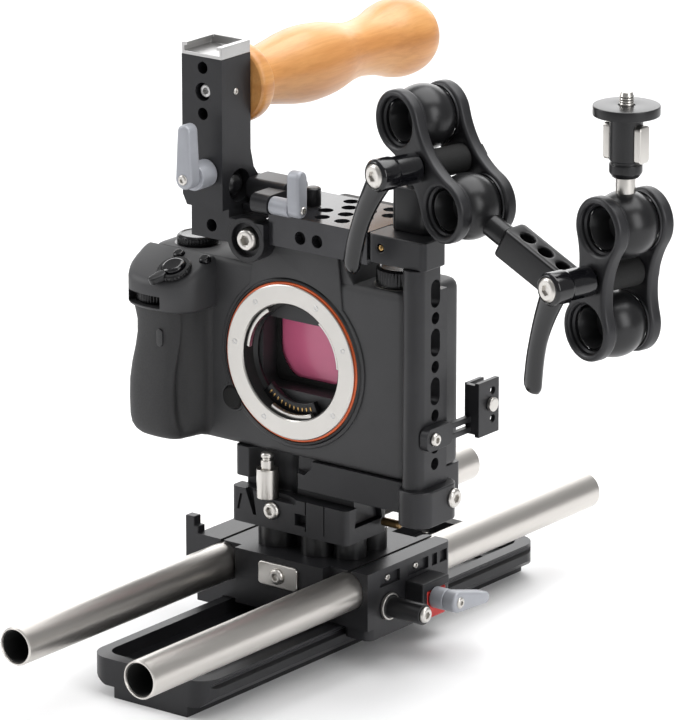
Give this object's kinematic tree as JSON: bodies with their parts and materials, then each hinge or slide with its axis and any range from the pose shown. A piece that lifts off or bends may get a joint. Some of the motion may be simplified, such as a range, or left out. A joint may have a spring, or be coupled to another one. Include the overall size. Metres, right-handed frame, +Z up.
{
  "type": "camera rig",
  "caption": "Mirrorless camera in a metal cage with a turned wooden top handle, on a quick-release rod base with a dovetail plate, and a ball-jointed arm with cam-lever clamps.",
  "frame": {"origin": "on the underside of the dovetail plate, below the front plane of the lens mount and on the lens axis' vertical plane", "axes": "+Z up; the lens looks along -Y, so +Y is towards the rear screen; +X towards the cage column and the arm; the rods run along Y"},
  "size_m": [0.2388, 0.285, 0.2443],
  "materials": {
    "black_anodised": "bead-blasted, black anodised",
    "stainless": "satin",
    "grey_lever": "grey, matte",
    "red_anodised": "red anodised",
    "maple": "oiled maple",
    "camera_shell": "finely textured dark grey",
    "grip_rubber": "textured rubber",
    "dial": "knurled, black",
    "screen": "glossy black",
    "orange_ring": "orange anodised",
    "bayonet": "satin, turned",
    "sensor_stack": "magenta filter glass",
    "black_lever": "glossy black"
  },
  "bodies": {
    "base": {"dovetail_plate": "black_anodised"},
    "bridge": {"bridge_block": "black_anodised", "front_plate": "stainless", "front_plate_screw": "stainless", "lock_housing": "black_anodised", "side_tab": "black_anodised", "riser_spacer": "black_anodised", "receiver": "black_anodised", "receiver_screw": "stainless", "pin_sleeve": "stainless", "cage_base": "black_anodised", "cage_foot": "black_anodised", "foot_screw": "stainless", "cage_column": "black_anodised", "corner_block": "black_anodised", "top_plate": "black_anodised", "handle_bracket": "black_anodised", "bracket_screw": "stainless", "handle_riser": "black_anodised", "cold_shoe": "stainless", "handle_grip": "maple", "top_clamp": "black_anodised", "cable_clamp_base": "black_anodised", "camera_body": "camera_shell", "grip_shell": "grip_rubber", "mount_ring": "orange_ring", "lens_mount": "bayonet", "image_sensor": "sensor_stack", "eyecup": "grip_rubber", "arm_post": "black_anodised"},
    "left_rod": {"rod_left": "stainless"},
    "right_rod": {"rod_right": "stainless"},
    "clamp_knob": {"rod_clamp_knob": "black_anodised"},
    "lock_button": {"lock_tab": "red_anodised"},
    "lock_arm": {"lock_lever": "grey_lever"},
    "plunger": {"release_plunger": "stainless"},
    "riser_arm": {"riser_lever": "grey_lever"},
    "top_arm": {"top_clamp_lever": "grey_lever"},
    "stop": {"stop_knob": "black_anodised"},
    "cable_screw": {"cable_clamp_screw": "stainless"},
    "cable_jaw": {"cable_clamp_jaw": "black_anodised"},
    "shutter": {"shutter_button": "stainless"},
    "power": {"power_lever": "dial"},
    "front_wheel": {"front_dial": "dial"},
    "mode_wheel": {"mode_dial": "dial"},
    "exposure_wheel": {"exposure_dial": "dial"},
    "drive_wheel": {"drive_dial": "dial"},
    "rear_wheel": {"control_wheel": "dial"},
    "button_1": {"custom_button_1": "dial"},
    "button_2": {"custom_button_2": "dial"},
    "screen": {"lcd_screen": "screen"},
    "door": {"battery_door": "camera_shell"},
    "lower_clamp": {"lower_clamp_front_plate": "black_anodised", "lower_clamp_back_plate": "black_anodised"},
    "lower_lever": {"lower_clamp_lever": "black_lever"},
    "link": {"arm_bar": "black_anodised"},
    "upper_clamp": {"upper_clamp_front_plate": "black_anodised", "upper_clamp_back_plate": "black_anodised"},
    "upper_lever": {"upper_clamp_lever": "black_lever"},
    "monitor_head": {"monitor_mount": "black_anodised"}
  },
  "joints": [
    {"name": "bridge_slide", "type": "slide", "parent": "base", "child": "bridge", "axis": [0, 1, 0], "range_m": [-0.04, 0.05]},
    {"name": "left_rod_slide", "type": "slide", "parent": "bridge", "child": "left_rod", "axis": [0, 1, 0], "range_m": [-0.05, 0.05]},
    {"name": "right_rod_slide", "type": "slide", "parent": "bridge", "child": "right_rod", "axis": [0, 1, 0], "range_m": [-0.05, 0.05]},
    {"name": "clamp_knob_turn", "type": "hinge", "parent": "bridge", "child": "clamp_knob", "pos_m": [0.0403, 0.01, 0.0227], "axis": [1, 0, 0], "range_deg": [0, 360]},
    {"name": "lock_button_press", "type": "slide", "parent": "bridge", "child": "lock_button", "axis": [1, 0, 0], "range_m": [-0.002, 0], "stiffness_N_per_m": 300},
    {"name": "lock_lever_turn", "type": "hinge", "parent": "bridge", "child": "lock_arm", "pos_m": [0.0486, 0.029, 0.0229], "axis": [1, 0, 0], "range_deg": [0, 110]},
    {"name": "plunger_lift", "type": "slide", "parent": "bridge", "child": "plunger", "axis": [0, 0, 1], "range_m": [-0.003, 0], "stiffness_N_per_m": 300},
    {"name": "riser_lever_turn", "type": "hinge", "parent": "bridge", "child": "riser_arm", "pos_m": [-0.032, -0.0103, 0.188], "axis": [0, 1, 0], "range_deg": [-90, 90]},
    {"name": "top_lever_turn", "type": "hinge", "parent": "bridge", "child": "top_arm", "pos_m": [-0.0042, -0.0045, 0.1785], "axis": [1, 0, 0], "range_deg": [0, 100]},
    {"name": "stop_knob_turn", "type": "hinge", "parent": "bridge", "child": "stop", "pos_m": [0, 0.0147, 0.1749], "axis": [0, 0, 1], "range_deg": [0, 360]},
    {"name": "cable_screw_turn", "type": "hinge", "parent": "bridge", "child": "cable_screw", "pos_m": [0.062, 0.0315, 0.105], "axis": [1, 0, 0], "range_deg": [0, 720]},
    {"name": "cable_jaw_slide", "type": "slide", "parent": "bridge", "child": "cable_jaw", "axis": [1, 0, 0], "range_m": [0, 0.003]},
    {"name": "shutter_press", "type": "slide", "parent": "bridge", "child": "shutter", "axis": [0, -0.4067, 0.9135], "range_m": [-0.0008, 0], "stiffness_N_per_m": 500},
    {"name": "power_turn", "type": "hinge", "parent": "bridge", "child": "power", "pos_m": [-0.0485, -0.0095, 0.1457], "axis": [0, -0.4067, 0.9135], "range_deg": [0, 40]},
    {"name": "front_dial_turn", "type": "hinge", "parent": "bridge", "child": "front_wheel", "pos_m": [-0.0595, -0.0066, 0.1319], "axis": [0, 0, 1], "continuous": true},
    {"name": "mode_dial_turn", "type": "hinge", "parent": "bridge", "child": "mode_wheel", "pos_m": [-0.056, 0.014, 0.1513], "axis": [0, 0, 1], "continuous": true},
    {"name": "exposure_dial_turn", "type": "hinge", "parent": "bridge", "child": "exposure_wheel", "pos_m": [-0.061, 0.0296, 0.1513], "axis": [0, 0, 1], "continuous": true},
    {"name": "drive_dial_turn", "type": "hinge", "parent": "bridge", "child": "drive_wheel", "pos_m": [0.042, 0.0155, 0.1513], "axis": [0, 0, 1], "continuous": true},
    {"name": "control_wheel_turn", "type": "hinge", "parent": "bridge", "child": "rear_wheel", "pos_m": [-0.051, 0.0373, 0.101], "axis": [0, 1, 0], "continuous": true},
    {"name": "button_1_press", "type": "slide", "parent": "bridge", "child": "button_1", "axis": [0, -0.4067, 0.9135], "range_m": [-0.0008, 0], "stiffness_N_per_m": 400},
    {"name": "button_2_press", "type": "slide", "parent": "bridge", "child": "button_2", "axis": [0, -0.4067, 0.9135], "range_m": [-0.0008, 0], "stiffness_N_per_m": 400},
    {"name": "screen_tilt", "type": "hinge", "parent": "bridge", "child": "screen", "pos_m": [0.009, 0.041, 0.1345], "axis": [1, 0, 0], "range_deg": [0, 95]},
    {"name": "battery_door_open", "type": "hinge", "parent": "bridge", "child": "door", "pos_m": [-0.0565, 0.0015, 0.0775], "axis": [1, 0, 0], "range_deg": [0, 95]},
    {"name": "lower_clamp_swing", "type": "hinge", "parent": "bridge", "child": "lower_clamp", "pos_m": [0.0522, 0.015, 0.218], "axis": [0.2402, 0.9707, 0], "range_deg": [-45, 5]},
    {"name": "lower_lever_turn", "type": "hinge", "parent": "lower_clamp", "child": "lower_lever", "pos_m": [0.06515, 0.01179, 0.20344], "axis": [0.2402, 0.9707, 0], "range_deg": [-60, 60]},
    {"name": "link_swing", "type": "hinge", "parent": "lower_clamp", "child": "link", "pos_m": [0.0781, 0.00859, 0.18888], "axis": [0.2402, 0.9707, 0], "range_deg": [-20, 20]},
    {"name": "upper_clamp_swing", "type": "hinge", "parent": "link", "child": "upper_clamp", "pos_m": [0.1442, 0.00859, 0.15528], "axis": [0.2402, 0.9707, 0], "range_deg": [-30, 30]},
    {"name": "upper_lever_turn", "type": "hinge", "parent": "upper_clamp", "child": "upper_lever", "pos_m": [0.1471, 0.00787, 0.1748], "axis": [0.2402, 0.9707, 0], "range_deg": [-60, 60]},
    {"name": "monitor_head_swing", "type": "hinge", "parent": "upper_clamp", "child": "monitor_head", "pos_m": [0.15, 0.00715, 0.19432], "axis": [0.2402, 0.9707, 0], "range_deg": [-20, 20]}
  ],
  "couplings": [
    {"joint": "cable_screw_turn", "follows": "cable_jaw_slide", "rad_per_m": 4188.8}
  ]
}
